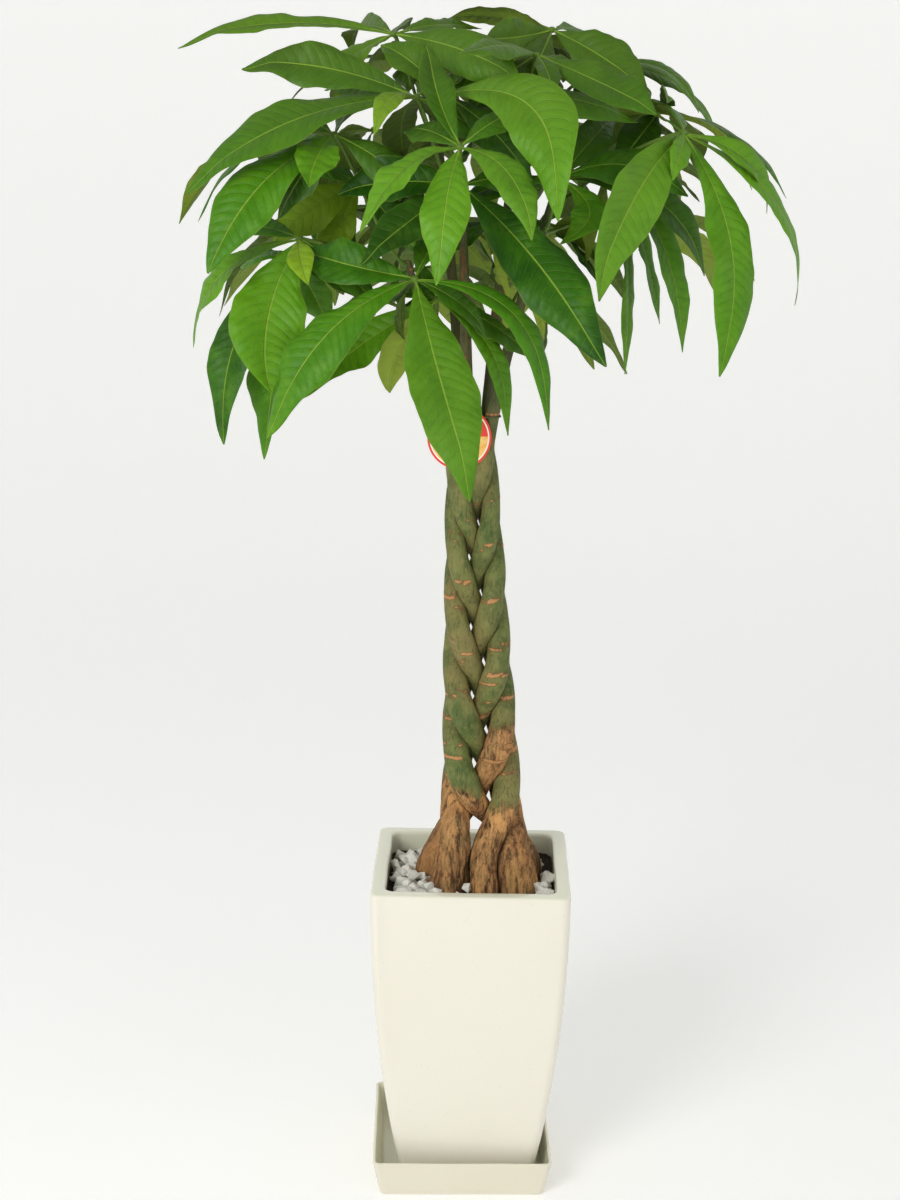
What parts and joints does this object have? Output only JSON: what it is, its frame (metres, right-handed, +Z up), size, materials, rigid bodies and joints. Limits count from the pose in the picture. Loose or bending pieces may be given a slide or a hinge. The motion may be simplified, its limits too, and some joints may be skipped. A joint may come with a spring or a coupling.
{
  "type": "potted money tree",
  "caption": "Plant with braided trunks and a round crown of palmate leaves, in a tall square glazed pot that stands on a square saucer.",
  "frame": {"origin": "middle of the saucer's underside, on the surface that it stands on", "axes": "+Z up along the plant, -Y towards its front, +X to the right as seen from the front"},
  "size_m": [0.8488, 0.7084, 1.6643],
  "materials": {
    "saucer_glaze": "gloss",
    "pot_glaze": "gloss",
    "soil": "matte",
    "white_stone": "matte",
    "bark": "matte",
    "twine": "matte",
    "card": "satin",
    "leaf": "satin"
  },
  "bodies": {
    "root": {"saucer": "saucer_glaze", "pot": "pot_glaze", "soil": "soil", "white_stones": "white_stone", "trunk_1": "bark", "trunk_2": "bark", "trunk_3": "bark", "trunk_4": "bark", "trunk_5": "bark", "tie": "twine", "tag": "card", "leaf_back_1": "leaf", "leaf_back_10": "leaf", "leaf_back_11": "leaf", "leaf_back_12": "leaf", "leaf_back_13": "leaf", "leaf_back_2": "leaf", "leaf_back_3": "leaf", "leaf_back_4": "leaf", "leaf_back_5": "leaf", "leaf_back_6": "leaf", "leaf_back_7": "leaf", "leaf_back_8": "leaf", "leaf_back_9": "leaf", "leaf_front_centre": "leaf", "leaf_front_centre_high": "leaf", "leaf_front_dark": "leaf", "leaf_front_left_high": "leaf", "leaf_front_left_top": "leaf", "leaf_front_low": "leaf", "leaf_inner_low": "leaf", "leaf_inner_right": "leaf", "leaf_left_front": "leaf", "leaf_left_high": "leaf", "leaf_left_inner": "leaf", "leaf_left_low": "leaf", "leaf_right_high": "leaf", "leaf_right_inner": "leaf", "leaf_right_low": "leaf", "leaf_right_outer": "leaf", "leaf_top_front": "leaf", "leaf_top_right": "leaf"}
  },
  "joints": []
}
